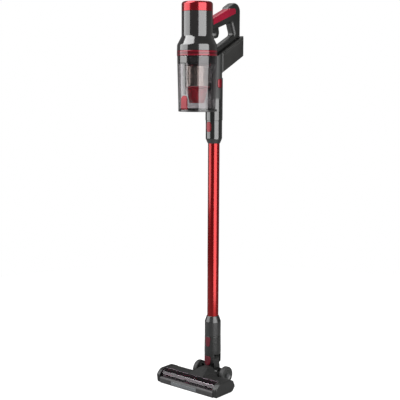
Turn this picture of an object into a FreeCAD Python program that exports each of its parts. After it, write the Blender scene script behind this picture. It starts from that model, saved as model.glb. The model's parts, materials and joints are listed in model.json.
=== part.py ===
"""Cordless stick vacuum: floor head, tilting and swivelling neck, red wand, cyclone bin, motor unit,
handle and battery. Each sub-part is written to parts/NAME.step.

The model is drawn about the wand's axis (x = 0, y = 0) with the floor at z = 0 and the front towards -Y.
+X is on the right for somebody who stands in front of it; "right" and "left" below mean that.
Saving moves it along Y, so that the origin is the middle of the footprint. Lengths are in millimetres.
"""
import FreeCAD, Part
import math
import os

V = FreeCAD.Vector

# ---- driving dimensions -------------------------------------------------------------------------
FRAME_Y = 12.5          # wand axis behind the middle of the footprint
GAP = 0.3               # clearance between pieces that move past each other
RUN = 0.05              # radial clearance of a pin in its hole
WALL = 2.2              # moulded wall

# main unit, about the axis of the bin
BIN_Y = -77.0
CAP_R = 44.0
CAP_TOP, CAP_BASE = 1117.0, 1088.4
HOUSING_TOP, SHOULDER_TOP, SHOULDER_BASE, HOUSING_BASE = 1088.0, 1020.0, 996.0, 980.2
RING_R, RING_BASE = 57.0, 965.3
BIN_TOP, BIN_TOP_R = 965.0, 56.2
BIN_BASE, BIN_BASE_R = 815.5, 52.8
LID_T = 5.5
LID_HINGE_Y, LID_HINGE_Z = -31.0, 812.7
SHROUD_R, SHROUD_TOP, SHROUD_BASE = 35.0, 936.7, 881.0
CONE_BASE, CONE_BASE_R = 834.0, 21.0

# inlet duct and the wand below it
DUCT_R, DUCT_BASE, DUCT_STEP = 25.0, 783.0, 905.0
DUCT_BORE, PORT_Z, PORT_R = 16.5, 880.0, 12.5
WAND_R, WAND_BORE = 17.0, 15.8
UPPER_R, UPPER_BASE, UPPER_TAPER = 24.0, 730.0, 716.0
LOWER_R, LOWER_TOP, LOWER_TAPER = 24.2, 184.0, 201.0
SPIGOT_R = 20.7
NECK_TOP, NECK_R, NECK_SPIGOT_R = 140.0, 24.9, 19.5

# battery and handle, in the middle plane
SLOPE = math.radians(27.2)
BATTERY_W, HANDLE_W = 25.0, 14.5
BATTERY_FRONT, BATTERY_REAR = 7.0, 108.0
BATTERY_FRONT_TOP, BATTERY_H = 976.5, 58.5
TRIGGER_Y, TRIGGER_Z, TRIGGER_W = 0.0, 1053.0, 6.0
BAR_H = 19.0            # lower bar of the handle, above the slanted plane
OUTER_ROUND, INNER_ROUND = 6.8, 9.0
CAVITY_W = 11.5         # half width of the hollow in the handle
RAIL_HALF = 8.0         # half width of the rail the battery slides on
INLET_Z = 981.0         # height of the charging inlet
FAR = 220.0             # reach of the blocks that cut above the slanted plane

# buttons and latch of the bin
BIN_BUTTON_Y, BIN_BUTTON_W, BIN_BUTTON_LOW, BIN_BUTTON_HIGH = -5.0, 7.0, 876.5, 902.5
LATCH_W, LATCH_LOW, LATCH_HIGH = 10.0, 815.7, 855.0
CLIP_W, RAIL_W = 11.5, 3.4

# neck joints
SWIVEL_Z, SWIVEL_R = 68.0, 16.0
AXLE_Z, BARREL_R, BARREL_W = 26.0, 17.0, 27.0
WHEEL_R, WHEEL_X, WHEEL_W = 26.0, 43.5, 14.0

# floor head
HEAD_W = 115.0
BODY_W = 101.0
BRUSH_Y, BRUSH_Z, BRUSH_R, CORE_R = -97.0, 20.0, 18.3, 12.5
WINDOW_R = 21.5
MOTOR_Y, MOTOR_Z, MOTOR_R = -60.0, 21.0, 12.6
BRUSH_TEETH, MOTOR_TEETH, TOOTH_PITCH = 22, 12, 3.0
BELT_X0, BELT_X1 = -109.5, -103.5
SIDE_T = 2.5            # side plates of the chassis
HUMP_X, HUMP_BASE, HUMP_TOP = 14.0, 41.5, 57.0
HUMP_BASE_W, HUMP_TOP_W = 27.0, 12.0
DUCT_OUT, HEAD_BORE = 12.3, 11.0
ARM_X0, ARM_X1 = 29.0, 41.0


# ---- helpers ------------------------------------------------------------------------------------
def rounded_wire(points, place):
    """Closed wire through corners (a, b, radius); radius 0 leaves the corner sharp."""
    count = len(points)
    stretches = []
    for i in range(count):
        a, b, radius = points[i]
        corner = V(a, b, 0)
        before = V(points[i - 1][0], points[i - 1][1], 0)
        after = V(points[(i + 1) % count][0], points[(i + 1) % count][1], 0)
        back = (before - corner).normalize()
        onward = (after - corner).normalize()
        half = back.getAngle(onward) / 2
        if radius == 0:
            stretches.append((corner, None, corner))
            continue
        reach = radius / math.tan(half)
        centre = corner + (back + onward).normalize() * (radius / math.sin(half))
        middle = centre + (corner - centre).normalize() * radius
        stretches.append((corner + back * reach, middle, corner + onward * reach))
    edges = []
    for i in range(count):
        start, middle, end = stretches[i]
        following = stretches[(i + 1) % count][0]
        if middle is not None:
            edges.append(Part.Arc(place(start), place(middle), place(end)).toShape())
        if (following - end).Length > 1e-6:
            edges.append(Part.LineSegment(place(end), place(following)).toShape())
    return Part.Wire(edges)


def sharp(points):
    """The same corners with no rounding."""
    return [(a, b, 0) for a, b in points]


def slab_x(points, x0, x1):
    """Outline in (y, z), extruded along X."""
    wire = rounded_wire(points, lambda p: V(x0, p.x, p.y))
    return Part.Face(wire).extrude(V(x1 - x0, 0, 0))


def slab_y(points, y0, y1):
    """Outline in (x, z), extruded along Y."""
    wire = rounded_wire(points, lambda p: V(p.x, y0, p.y))
    return Part.Face(wire).extrude(V(0, y1 - y0, 0))


def slab_z(points, z0, z1):
    """Outline in (x, y), extruded along Z."""
    wire = rounded_wire(points, lambda p: V(p.x, p.y, z0))
    return Part.Face(wire).extrude(V(0, 0, z1 - z0))


def turned(points, y=BIN_Y):
    """Outline in (radius, z), turned about the vertical axis at y."""
    wire = rounded_wire(points, lambda p: V(p.x, y, p.y))
    return Part.Face(wire).revolve(V(0, y, 0), V(0, 0, 1), 360)


def rod_x(radius, x0, x1, y, z):
    return Part.makeCylinder(radius, x1 - x0, V(x0, y, z), V(1, 0, 0))


def rod_y(radius, y0, y1, x, z):
    return Part.makeCylinder(radius, y1 - y0, V(x, y0, z), V(0, 1, 0))


def rod_z(radius, z0, z1, x=0.0, y=0.0):
    return Part.makeCylinder(radius, z1 - z0, V(x, y, z0))


def block(x0, x1, y0, y1, z0, z1):
    return Part.makeBox(x1 - x0, y1 - y0, z1 - z0, V(x0, y0, z0))


def oval_y(width, height, z, y0, y1):
    """Upright oval bar along Y: a button's outline."""
    r = width / 2
    corner = r - 0.01
    lo, hi = z - height / 2, z + height / 2
    return slab_y([(-r, lo, corner), (r, lo, corner), (r, hi, corner), (-r, hi, corner)], y0, y1)


def fuse(shapes):
    return shapes[0].multiFuse(shapes[1:]).removeSplitter()


def cut(shape, tools):
    for tool in tools:
        shape = shape.cut(tool)
    return shape


def flat_edges(shape, axis, levels):
    """Edges that lie wholly in a plane axis = level."""
    found = []
    for edge in shape.Edges:
        span = getattr(edge.BoundBox, axis.upper() + "Length")
        place = getattr(edge.Vertexes[0].Point, axis)
        if span < 0.01 and any(abs(place - level) < 0.001 for level in levels):
            found.append(edge)
    return found


def spun(tool, count):
    """Copies of a tool, evenly spaced round the axis of the bin."""
    copies = []
    for i in range(count):
        copy = tool.copy()
        copy.rotate(V(0, BIN_Y, 0), V(0, 0, 1), 360.0 * i / count)
        copies.append(copy)
    return copies


def mirrored(shape):
    return shape.mirror(V(0, 0, 0), V(1, 0, 0))


def save(name, shape):
    moved = shape.copy()
    moved.translate(V(0, FRAME_Y, 0))
    print(name, "solids", len(moved.Solids), "valid", moved.isValid(), "cm3", round(moved.Volume / 1000, 2))
    moved.exportStep("parts/%s.step" % name)


def bin_envelope(clearance, z0, z1):
    """Straight cylinder round the bin and housing, for fitting what stands behind them."""
    return rod_z(RING_R + clearance, z0, z1, 0, BIN_Y)


# ---- motor unit ---------------------------------------------------------------------------------
def housing_outline(inset):
    shoulder = 0.45 * inset
    return [
        (CAP_R - inset, HOUSING_TOP, 0),
        (CAP_R - inset, SHOULDER_TOP - shoulder, 14),
        (BIN_TOP_R + 0.3 - inset, SHOULDER_BASE - shoulder, 9),
        (RING_R - inset, HOUSING_BASE, 0),
    ]


def motor_housing():
    return turned(housing_outline(0) + housing_outline(2.5)[::-1])


def housing_solid():
    outer = housing_outline(0)
    return turned(outer + [(0, HOUSING_BASE, 0), (0, HOUSING_TOP, 0)])


def red_ring():
    return turned([(RING_R, RING_BASE, 1.2), (RING_R, 980, 1.2), (53.4, 980, 0), (53.4, RING_BASE, 0)])


def bulkhead():
    """Floor of the motor chamber, with the air inlet in the middle and stiffening ribs."""
    plate = turned(
        [
            (53.0, 972, 0),
            (53.0, 976, 0),
            (27, 976, 0),
            (27, 984, 1),
            (24, 984, 1),
            (24, 976, 0),
            (15, 976, 0),
            (15, 972, 0),
        ]
    )
    rib = block(27.5, 52, BIN_Y - 1, BIN_Y + 1, 976, 980)
    return fuse([plate] + spun(rib, 8))


def motor_can():
    """Motor casing in two diameters, with air slots round the narrower part."""
    outer = [(31, 986, 2), (31, 1010, 2), (24, 1016, 2), (24, 1038, 3), (1.9, 1038, 0)]
    inner = [
        (1.9, 1036.4, 0),
        (22.4, 1036.4, 2),
        (22.4, 1017, 0),
        (29.4, 1009, 0),
        (29.4, 988, 0),
        (14, 988, 0),
        (14, 986, 0),
    ]
    slot = block(18, 34, BIN_Y - 3, BIN_Y + 3, 1019, 1031)
    return cut(turned(outer + inner), spun(slot, 9))


def motor_mount():
    """Rubber ring that holds the motor inside the housing."""
    return turned([(24.1, 1032.5, 1), (41.4, 1032.5, 1), (41.4, 1036.5, 1), (24.1, 1036.5, 1)])


def motor_shaft():
    return turned([(0, 989.5, 0), (1.8, 989.5, 0), (1.8, 1041, 0), (0, 1041, 0)])


def impeller():
    """Fan with nine swept blades under its disc."""
    hub = turned(
        [(1.85, 990, 0), (5, 990, 2), (8, 1004, 0), (27.5, 1004, 0), (27.5, 1005.6, 0), (1.85, 1005.6, 0)]
    )
    blade = slab_z(sharp([(6, -0.6), (16, 2.6), (27, 2.0), (27, 3.2), (15.8, 3.8), (6, 0.6)]), 992, 1004.2)
    blade.translate(V(0, BIN_Y, 0))
    return fuse([hub] + spun(blade, 9))


# ---- filter under the red cap -------------------------------------------------------------------
def filter_cap():
    """Red cap with a plug rim inside the housing and exhaust slots in its top."""
    rim = CAP_R - 2.8
    cap = turned(
        [
            (CAP_R, CAP_BASE, 0.6),
            (CAP_R, CAP_TOP - 1.5, 8),
            (0, CAP_TOP, 0),
            (0, CAP_TOP - 2.4, 0),
            (CAP_R - 2.4, CAP_TOP - 3.9, 5),
            (CAP_R - 2.4, CAP_BASE + 2.4, 0),
            (rim - 2.2, CAP_BASE + 2.4, 0),
            (rim - 2.2, 1083.2, 0),
            (rim, 1083.2, 0),
            (rim, CAP_BASE, 0),
        ]
    )
    slot = block(15, 32, BIN_Y - 1.1, BIN_Y + 1.1, CAP_TOP - 8, CAP_TOP + 4)
    return cut(cap, spun(slot, 18))


def hepa_filter():
    """Filter cartridge: pleated ring between two end rings."""
    pleats = 30
    outline = []
    for i in range(pleats):
        outer_turn = 2 * math.pi * i / pleats
        inner_turn = 2 * math.pi * (i + 0.5) / pleats
        outline.append((36 * math.cos(outer_turn), BIN_Y + 36 * math.sin(outer_turn)))
        outline.append((29 * math.cos(inner_turn), BIN_Y + 29 * math.sin(inner_turn)))
    paper = slab_z(sharp(outline), 1046, 1080).cut(rod_z(24, 1045, 1081, 0, BIN_Y))
    foot = turned([(22, 1043, 0), (37.5, 1043, 1), (37.5, 1046, 0), (22, 1046, 0)])
    head = turned([(22, 1080, 0), (38.8, 1080, 0), (38.8, 1083, 0), (22, 1083, 0)])
    return fuse([paper, foot, head])


# ---- dust bin -----------------------------------------------------------------------------------
def bin_wall(inset):
    return [
        (BIN_TOP_R - inset, BIN_TOP, 0),
        (BIN_TOP_R - 0.2 - inset, BIN_TOP - 14, 0),
        (BIN_BASE_R - inset, BIN_BASE + 8, 0),
        (BIN_BASE_R - inset, BIN_BASE, 0),
    ]


def bin_shell():
    """Clear wall of the bin, with the rear sill that carries the lid's hinge."""
    shell = turned(bin_wall(0) + bin_wall(2.0)[::-1])
    sill = rod_z(BIN_BASE_R, LID_HINGE_Z - 3.2, BIN_BASE + 0.5, 0, BIN_Y)
    sill = sill.common(block(-24, 24, LID_HINGE_Y - 1, 0, 700, 900))
    knuckle = rod_x(3.2, -24, 24, LID_HINGE_Y, LID_HINGE_Z)
    body = fuse([shell, sill, knuckle])
    port = rod_y(PORT_R, BIN_Y + 40, 0, 0, PORT_Z)
    lug_room = rod_x(3.2 + GAP, 24.3, 34, LID_HINGE_Y, LID_HINGE_Z)
    return cut(body, [port, rod_x(1.5, -30, 30, LID_HINGE_Y, LID_HINGE_Z), lug_room, mirrored(lug_room)])


def lid_hinge_pin():
    return rod_x(1.5, -34.5, 34.5, LID_HINGE_Y, LID_HINGE_Z)


def bin_lid():
    """Drop-down floor of the bin, hinged at the rear on two lugs."""
    top = BIN_BASE - GAP
    base = top - LID_T
    disc = turned([(0, base, 0), (BIN_BASE_R, base, 1.5), (BIN_BASE_R, top, 0), (0, top, 0)])
    notch = block(-24.6, 24.6, LID_HINGE_Y - 3.2 - 0.6, 0, 700, 900)
    rear = block(-60, 60, LID_HINGE_Y, 0, 700, 900)
    lugs = []
    for side in (-1, 1):
        x0, x1 = sorted((side * 24.6, side * 33.5))
        lugs.append(rod_x(3.2, x0, x1, LID_HINGE_Y, LID_HINGE_Z))
        lugs.append(block(x0, x1, LID_HINGE_Y - 12, LID_HINGE_Y, base, top - 0.4))
    dome = turned([(0, base - 0.2, 0), (30, base - 0.2, 0), (30, base + 0.5, 0), (0, base + 0.5, 0)])
    body = fuse([cut(disc, [notch, rear]), dome] + lugs)
    return body.cut(rod_x(1.5 + RUN, -40, 40, LID_HINGE_Y, LID_HINGE_Z))


def lid_seal():
    """Rubber lip on top of the lid, just inside the bin's wall."""
    top = BIN_BASE - GAP
    ring = turned([(47.5, top, 0), (50.3, top, 0), (49.8, top + 2.6, 0), (47.5, top + 2.6, 0)])
    ring = ring.cut(block(-60, 60, LID_HINGE_Y - 6, 0, 700, 900))
    chord = block(-29.5, 29.5, LID_HINGE_Y - 8.5, LID_HINGE_Y - 6, top, top + 2.6)
    return fuse([ring, chord])


def cyclone_top():
    """Dark collar that closes the bin's top, with the outlet tube down its middle."""
    return turned(
        [
            (15, BIN_TOP, 0),
            (53.9, BIN_TOP, 0),
            (53.7, 943.5, 1.5),
            (34, 943.5, 0),
            (34, 940, 0),
            (17, 940, 0),
            (17, 892, 0),
            (15, 892, 0),
        ]
    )


def cyclone_ring():
    """Red ring between the collar and the shroud."""
    return turned(
        [
            (34.1, 943.3, 0),
            (37.5, 943.3, 1),
            (37.5, 937.2, 1),
            (30, 937.2, 0),
            (30, 939.8, 0),
            (34.1, 939.8, 0),
        ]
    )


def cyclone_shroud():
    """Perforated drum: windows between upright ribs, with a fine screen behind them."""
    rib_r, screen_r = SHROUD_R - 1.8, SHROUD_R - 2.4
    drum = turned(
        [
            (SHROUD_R, SHROUD_BASE, 0.6),
            (SHROUD_R, SHROUD_TOP, 0.6),
            (rib_r, SHROUD_TOP, 0),
            (rib_r, SHROUD_BASE, 0),
        ]
    )
    windows = []
    for z in (887.5, 899.5, 911.5, 923.5):
        windows += spun(block(30, 40, BIN_Y - 3.9, BIN_Y + 3.9, z, z + 9), 20)
    drum = drum.cut(Part.makeCompound(windows))
    low, high = SHROUD_BASE + 2, SHROUD_TOP - 2
    screen = turned(sharp([(rib_r + 0.05, low), (rib_r + 0.05, high), (screen_r, high), (screen_r, low)]))
    return fuse([drum, screen])


def cyclone_cone():
    """Red cone under the shroud."""
    return turned(
        [
            (36.5, 880.7, 1),
            (36.5, 877.5, 1),
            (31, 874, 4),
            (CONE_BASE_R + 2, CONE_BASE + 10, 4),
            (CONE_BASE_R, CONE_BASE, 0),
            (CONE_BASE_R - 1.8, CONE_BASE, 0),
            (CONE_BASE_R + 0.2, CONE_BASE + 10, 0),
            (29.4, 875.5, 0),
            (30.5, 880.7, 0),
        ]
    )


def latch_rail():
    """Clip at the front of the bin's top and the rail that runs down to the red latch."""
    front = BIN_Y - BIN_TOP_R
    clip = slab_x(
        [(front - 2.6, 944, 2), (front - 2.6, 963.5, 2), (front + 1.2, 963.5, 0), (front + 1.2, 944, 0)],
        -CLIP_W,
        CLIP_W,
    )
    foot = LATCH_HIGH + 1.5
    rail = sharp([(front + 1.2, 945), (front - 0.9, 945), (front + 2.0, foot), (front + 4.0, foot)])
    body = fuse([clip, slab_x(rail, -RAIL_W, RAIL_W)])
    return cut(body, [turned(bin_wall(-0.05) + [(0, BIN_BASE, 0), (0, BIN_TOP, 0)])])


def lid_latch():
    """Red thumb latch at the front foot of the bin."""
    wall = BIN_Y - BIN_BASE_R
    outline = [
        (wall - 4.2, LATCH_LOW + 4, 2),
        (wall - 4.4, LATCH_LOW + 24, 6),
        (wall - 2.4, LATCH_HIGH, 1.4),
        (wall + 4, LATCH_HIGH, 0),
        (wall + 4, LATCH_LOW, 0),
        (wall - 3, LATCH_LOW, 1),
    ]
    tab = slab_x(outline, -LATCH_W, LATCH_W)
    plan = [
        (-LATCH_W, LATCH_LOW, 2),
        (LATCH_W, LATCH_LOW, 2),
        (LATCH_W, LATCH_HIGH, 9),
        (-LATCH_W, LATCH_HIGH, 9),
    ]
    tab = tab.common(slab_y(plan, wall - 12, wall + 10))
    return cut(tab, [turned(bin_wall(-0.35) + [(0, BIN_BASE - 10, 0), (0, BIN_TOP, 0)])])


# ---- inlet duct ---------------------------------------------------------------------------------
def frame_line(y, offset=0.0):
    """Height of the slanted plane on which the handle stands and the battery hangs."""
    return BATTERY_FRONT_TOP + (y - BATTERY_FRONT) * math.tan(SLOPE) + offset


def slanted(y0, y1, low, high):
    """Outline between two lines parallel to the slanted plane."""
    lower = [(y0, frame_line(y0, low)), (y1, frame_line(y1, low))]
    upper = [(y1, frame_line(y1, high)), (y0, frame_line(y0, high))]
    return sharp(lower + upper)


def bin_button_bar(clearance, x0, x1):
    """Oval bar along X: the outline of the bin's release button."""
    half = BIN_BUTTON_W + clearance
    y0, y1 = BIN_BUTTON_Y - half, BIN_BUTTON_Y + half
    z0, z1 = BIN_BUTTON_LOW - clearance, BIN_BUTTON_HIGH + clearance
    corner = BIN_BUTTON_W - 0.1
    return slab_x([(y0, z0, corner), (y1, z0, corner), (y1, z1, corner), (y0, z1, corner)], x0, x1)


def inlet_duct():
    """Upright duct: wand socket at its foot, air elbow into the bin, wiring column above."""
    body = rod_z(DUCT_R, DUCT_BASE, 1010)
    above = slab_x(slanted(-80, 80, 0.3, FAR), -40, 40)
    behind = block(-40, 40, BATTERY_FRONT - 0.6, 60, DUCT_STEP, 1100)
    socket = rod_z(SPIGOT_R + GAP, DUCT_BASE - 1, 805)
    riser = rod_z(DUCT_BORE, 804, 896, 0, 1)
    elbow = rod_y(PORT_R, -40, 1, 0, PORT_Z)
    wiring = block(-14, 14, -14, 3, 900, 962)
    button_pocket = bin_button_bar(GAP, 19.4, 40)
    bin_room = bin_envelope(0.5, BIN_BASE - LID_T - 0.7, 1100)
    return cut(body, [above, behind, bin_room, socket, riser, elbow, wiring, button_pocket])


def bin_button():
    """Red oval release on the duct's right side."""
    body = bin_button_bar(0, 22.2, 30)
    return body.common(rod_z(DUCT_R + 1.3, 870, 910))


# ---- handle -------------------------------------------------------------------------------------
def handle_loop():
    """Solid outline of the handle: grip, rear post and lower bar round the opening for the hand."""
    outer = [
        (-60, 1056, 0),
        (47.5, 1103.2, 2),
        (51, 1110, 4),
        (76, 1123.5, 20),
        (104.5, 1119, 24),
        (104.5, frame_line(104.5, 0.6), 3),
        (-60, frame_line(-60, 0.6), 0),
    ]
    opening = [
        (-60, 1034, 0),
        (-14, 1040, 20),
        (39, 1058.2, 20),
        (62.5, 1066.5, 6),
        (76.5, frame_line(76.5, BAR_H), 7),
        (-60, frame_line(-60, BAR_H), 0),
    ]
    faces = (-HANDLE_W, HANDLE_W)
    body = slab_x(outer, -HANDLE_W, HANDLE_W)
    body = body.makeFillet(OUTER_ROUND, [e for e in flat_edges(body, "x", faces) if e.BoundBox.YMin > -58])
    hole = slab_x(opening, -HANDLE_W - 5, HANDLE_W + 5)
    body = body.cut(hole)
    rim = [e for e in flat_edges(body, "x", faces) if e.BoundBox.YMin > -58 and e.distToShape(hole)[0] < 0.01]
    body = body.makeFillet(INNER_ROUND, rim)
    return cut(body, [housing_solid(), bin_envelope(0.05, 900, 996)])


def handle_cavity():
    """Hollow of the handle's shells, clear of its walls."""
    grip = [(-28, 1052), (-28, 1067), (44, 1096), (58, 1098), (56, 1072), (12, 1055)]
    post = [(81, 1048, 0), (101, 1048, 0), (101, 1112, 12), (64, 1112, 8), (64, 1072, 0)]
    return [
        slab_x(sharp(grip), -CAVITY_W, CAVITY_W),
        slab_x(post, -CAVITY_W, CAVITY_W),
        slab_x(slanted(-12, 98, 8, 14), 2 - CAVITY_W, CAVITY_W - 2),
    ]


def inlay_region():
    """Band over the grip's top and upper sides, which ends under the black cap of the post."""
    outline = [(-22, 1054.5), (80, 1092), (81, 1100), (76, 1107), (47.5, 1103.2), (47.5, 1130), (-22, 1130)]
    return slab_x(sharp(outline), -40, 40)


def handle_pieces():
    """Left and right shells, and the red inlay that covers the grip."""
    loop = handle_loop()
    core = [(-40, 1040), (-40, 1064.5), (50, 1100), (90, 1105), (90, 1060)]
    inlay = loop.common(inlay_region()).cut(slab_x(sharp(core), -CAVITY_W, CAVITY_W))
    shells = cut(loop.cut(inlay), handle_cavity())
    pocket = block(-TRIGGER_W - 0.4, TRIGGER_W + 0.4, -18, 16, 1036, 1060)
    pin_hole = rod_x(1.6 + RUN, -11.4, 11.4, TRIGGER_Y, TRIGGER_Z)
    groove = slab_x(slanted(17, 120, 0, 5), -RAIL_HALF - 0.4, RAIL_HALF + 0.4)
    shells = cut(shells, [pocket, pin_hole, groove])
    left = shells.common(block(-40, 0, -100, 200, 800, 1200))
    right = shells.common(block(0, 40, -100, 200, 800, 1200))
    return left, right, inlay


def trigger():
    """Curved finger trigger; the finger goes in front of it and pulls it back."""
    hook = slab_x(
        [
            (-12, 1045, 2),
            (-4, 1039.5, 6),
            (2.5, 1029, 8),
            (-5.5, 1020, 1.4),
            (-2.5, 1016.8, 2),
            (9, 1020.5, 9),
            (13.8, 1033, 14),
            (11.5, 1046, 3),
            (8, 1053, 3),
            (-6, 1053, 3),
        ],
        -TRIGGER_W,
        TRIGGER_W,
    )
    barrel = rod_x(4.4, -TRIGGER_W, TRIGGER_W, TRIGGER_Y, TRIGGER_Z)
    trunnions = rod_x(1.6, -11.2, 11.2, TRIGGER_Y, TRIGGER_Z)
    return fuse([hook, barrel, trunnions])


def trigger_switch():
    case = block(-3.2, 3.2, 14, 28, 1062, 1071)
    lever = block(-2, 2, 12, 15, 1063, 1064)
    return fuse([case, lever])


# ---- battery ------------------------------------------------------------------------------------
def battery_outline(inset):
    """Side outline of the pack, drawn in by inset."""
    drop = inset / math.cos(SLOPE)
    return slanted(BATTERY_FRONT + inset, BATTERY_REAR - inset, -BATTERY_H + drop, -drop)


def battery_block():
    """Outside of the pack, with its long edges chamfered."""
    body = slab_x(battery_outline(0), -BATTERY_W, BATTERY_W)
    return body.makeChamfer(3.2, flat_edges(body, "x", (-BATTERY_W, BATTERY_W)))


def battery_pieces():
    """Pack case and its top plate with the slide rail."""
    body = battery_block()
    split = slab_x(slanted(-20, 140, -9, FAR), -40, 40)
    hollow = slab_x(battery_outline(WALL), -BATTERY_W + WALL, BATTERY_W - WALL)
    top_hollow = hollow.cut(slab_x(slanted(-20, 140, -6, FAR), -40, 40))
    case = body.cut(split).cut(hollow)
    top = body.common(split).cut(top_hollow)
    top = fuse([top, slab_x(slanted(20, 100, -1, 4.4), -RAIL_HALF, RAIL_HALF)])
    pocket = block(-9.3, 9.3, BATTERY_REAR - 5.0, BATTERY_REAR + 5, 987.7, 1003.3)
    socket = rod_y(2.8, BATTERY_REAR - 9, BATTERY_REAR + 5, 0, INLET_Z)
    boss = rod_y(5.5, BATTERY_REAR - 9, BATTERY_REAR - 1, 0, INLET_Z)
    seat = block(-11.5, 11.5, BATTERY_REAR - 7.0, BATTERY_REAR - 1, 985.5, 1005.5)
    case = fuse([case, boss, seat])
    return cut(case, [pocket, socket]), top


def battery_button():
    """Release button in the end of the pack."""
    body = block(-9, 9, BATTERY_REAR - 2.6, BATTERY_REAR + 0.8, 988, 1003)
    return body.makeFillet(0.7, flat_edges(body, "y", (BATTERY_REAR + 0.8,)))


def battery_cells():
    """Four lithium cells lying along the slope of the pack."""
    along = V(0, math.cos(SLOPE), math.sin(SLOPE))
    across = V(0, -math.sin(SLOPE), math.cos(SLOPE))
    start = V(0, BATTERY_FRONT + 16, frame_line(BATTERY_FRONT + 16, -BATTERY_H / 2 - 2))
    cells = []
    for side in (-1, 1):
        for level in (-1, 1):
            foot = start + V(side * 10.9, 0, 0) + across * (level * 10.9)
            cells.append(Part.makeCylinder(10.6, 70, foot, along))
    return Part.makeCompound(cells)


# ---- wand ---------------------------------------------------------------------------------------
def wand_upper_connector():
    """Sleeve at the wand's top with the spigot that enters the duct."""
    body = turned(
        [
            (WAND_R + 0.05, UPPER_TAPER, 0),
            (WAND_R + 1.2, UPPER_TAPER, 1),
            (UPPER_R, UPPER_BASE, 8),
            (UPPER_R, DUCT_BASE - 0.4, 0.6),
            (SPIGOT_R, DUCT_BASE - 0.4, 0),
            (SPIGOT_R, 804, 1.5),
            (DUCT_BORE, 804, 0),
            (DUCT_BORE, 745, 0),
            (WAND_R + 0.05, 745, 0),
        ],
        0,
    )
    return body.cut(oval_y(16.6, 29.6, 764.5, -40, -18.2))


def wand_button():
    """Oval release at the front of the upper sleeve."""
    body = oval_y(16, 29, 764.5, -30, -20.8)
    return body.common(rod_z(UPPER_R + 1.4, 740, 790))


def wand_tube():
    """The long tube."""
    return turned([(WAND_R, 160, 0), (WAND_R, 744.8, 0), (WAND_BORE, 744.8, 0), (WAND_BORE, 160, 0)], 0)


def wand_lower_connector():
    """Sleeve at the wand's foot with the spigot that enters the neck."""
    return turned(
        [
            (WAND_R + 0.05, LOWER_TAPER, 0),
            (WAND_R + 1.2, LOWER_TAPER, 1),
            (LOWER_R, LOWER_TOP, 8),
            (LOWER_R, NECK_TOP + 0.4, 0.6),
            (NECK_SPIGOT_R, NECK_TOP + 0.4, 0),
            (NECK_SPIGOT_R, 112, 1.5),
            (WAND_BORE, 112, 0),
            (WAND_BORE, 159.8, 0),
            (WAND_R + 0.05, 159.8, 0),
        ],
        0,
    )


# ---- neck ---------------------------------------------------------------------------------------
def latch_shape(clearance, y0, y1):
    """Red neck latch: wide at its top and narrower at its foot."""
    top, foot = NECK_TOP - 2 + clearance, 110 - clearance
    wide, narrow = 9.5 + clearance, 6.5 + clearance
    return slab_y([(-wide, top, 2), (wide, top, 2), (narrow, foot, 4), (-narrow, foot, 4)], y0, y1)


def neck_tube():
    """Lower neck: socket for the wand above, fork for the swivel below."""
    tube = turned(
        [
            (0, 84, 0),
            (NECK_R - 0.3, 84, 2),
            (NECK_R, 96, 0),
            (24.2, NECK_TOP, 1),
            (NECK_SPIGOT_R + GAP, NECK_TOP, 0),
            (NECK_SPIGOT_R + GAP, 111, 0),
            (WAND_BORE, 111, 0),
            (WAND_BORE, 92, 0),
            (0, 92, 0),
        ],
        0,
    )
    fork = [(-17, 52, 15), (17, 52, 15), (20, 92, 0), (-20, 92, 0)]
    arms = fuse([slab_y(fork, -24.5, -15.4), slab_y(fork, 15.4, 24.5)]).common(rod_z(NECK_R - 0.3, 50, 92))
    body = fuse([tube, arms])
    saddle = rod_y(SWIVEL_R + 0.5, -15.4, 15.4, 0, SWIVEL_Z)
    bore = rod_z(11, 80, 95)
    pins = rod_y(4, -40, 40, 0, SWIVEL_Z)
    pocket = latch_shape(0.3, -40, -21.0)
    return cut(body, [saddle, bore, pins, pocket])


def swivel_pins():
    """Two stub pins; the rear one has the round head seen behind the neck."""
    front = rod_y(4, -25.2, -12, 0, SWIVEL_Z)
    rear = rod_y(4, 12, 30, 0, SWIVEL_Z)
    head = rod_y(6.5, 24.8, 31, 0, SWIVEL_Z)
    head = head.makeFillet(2, flat_edges(head, "y", (31,)))
    return Part.makeCompound([front, rear.fuse(head).removeSplitter()])


def neck_trim():
    """Red shield on the front arm of the fork."""
    plate = slab_y([(-9.5, 53, 8), (9.5, 53, 8), (11, 80, 4), (-11, 80, 4)], -29, -20)
    outer = rod_z(NECK_R + 2.2, 45, 90)
    inner = rod_z(NECK_R + 0.4, 40, 95)
    shield = plate.common(outer).cut(inner)
    return shield.cut(rod_y(4.6, -25.6, -20, 0, SWIVEL_Z))


def neck_button():
    body = latch_shape(0, -30, -22.6)
    return body.common(turned([(0, 100, 0), (25.5, 100, 0), (25.2, 140, 0), (0, 140, 0)], 0))


def swivel_yoke():
    """Elbow between the two axes: cross barrel above, axle barrel below, air passage through both."""
    upper = rod_y(SWIVEL_R, -15, 15, 0, SWIVEL_Z)
    lower = rod_x(BARREL_R, -BARREL_W, BARREL_W, 0, AXLE_Z)
    web = slab_y(sharp([(-20, 26), (20, 26), (14.5, 66), (-14.5, 66)]), -13, 13)
    body = fuse([upper, lower, web])
    riser = rod_z(11, AXLE_Z, 100)
    outlet = rod_y(11, -40, 0, 0, AXLE_Z)
    heart = Part.makeSphere(11, V(0, 0, AXLE_Z))
    axle_holes = [rod_x(4 + RUN, 13, 40, 0, AXLE_Z), rod_x(4 + RUN, -40, -13, 0, AXLE_Z)]
    pin_holes = [rod_y(4 + RUN, -20, -11.6, 0, SWIVEL_Z), rod_y(4 + RUN, 11.6, 20, 0, SWIVEL_Z)]
    return cut(body, [riser, outlet, heart] + axle_holes + pin_holes)


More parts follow.
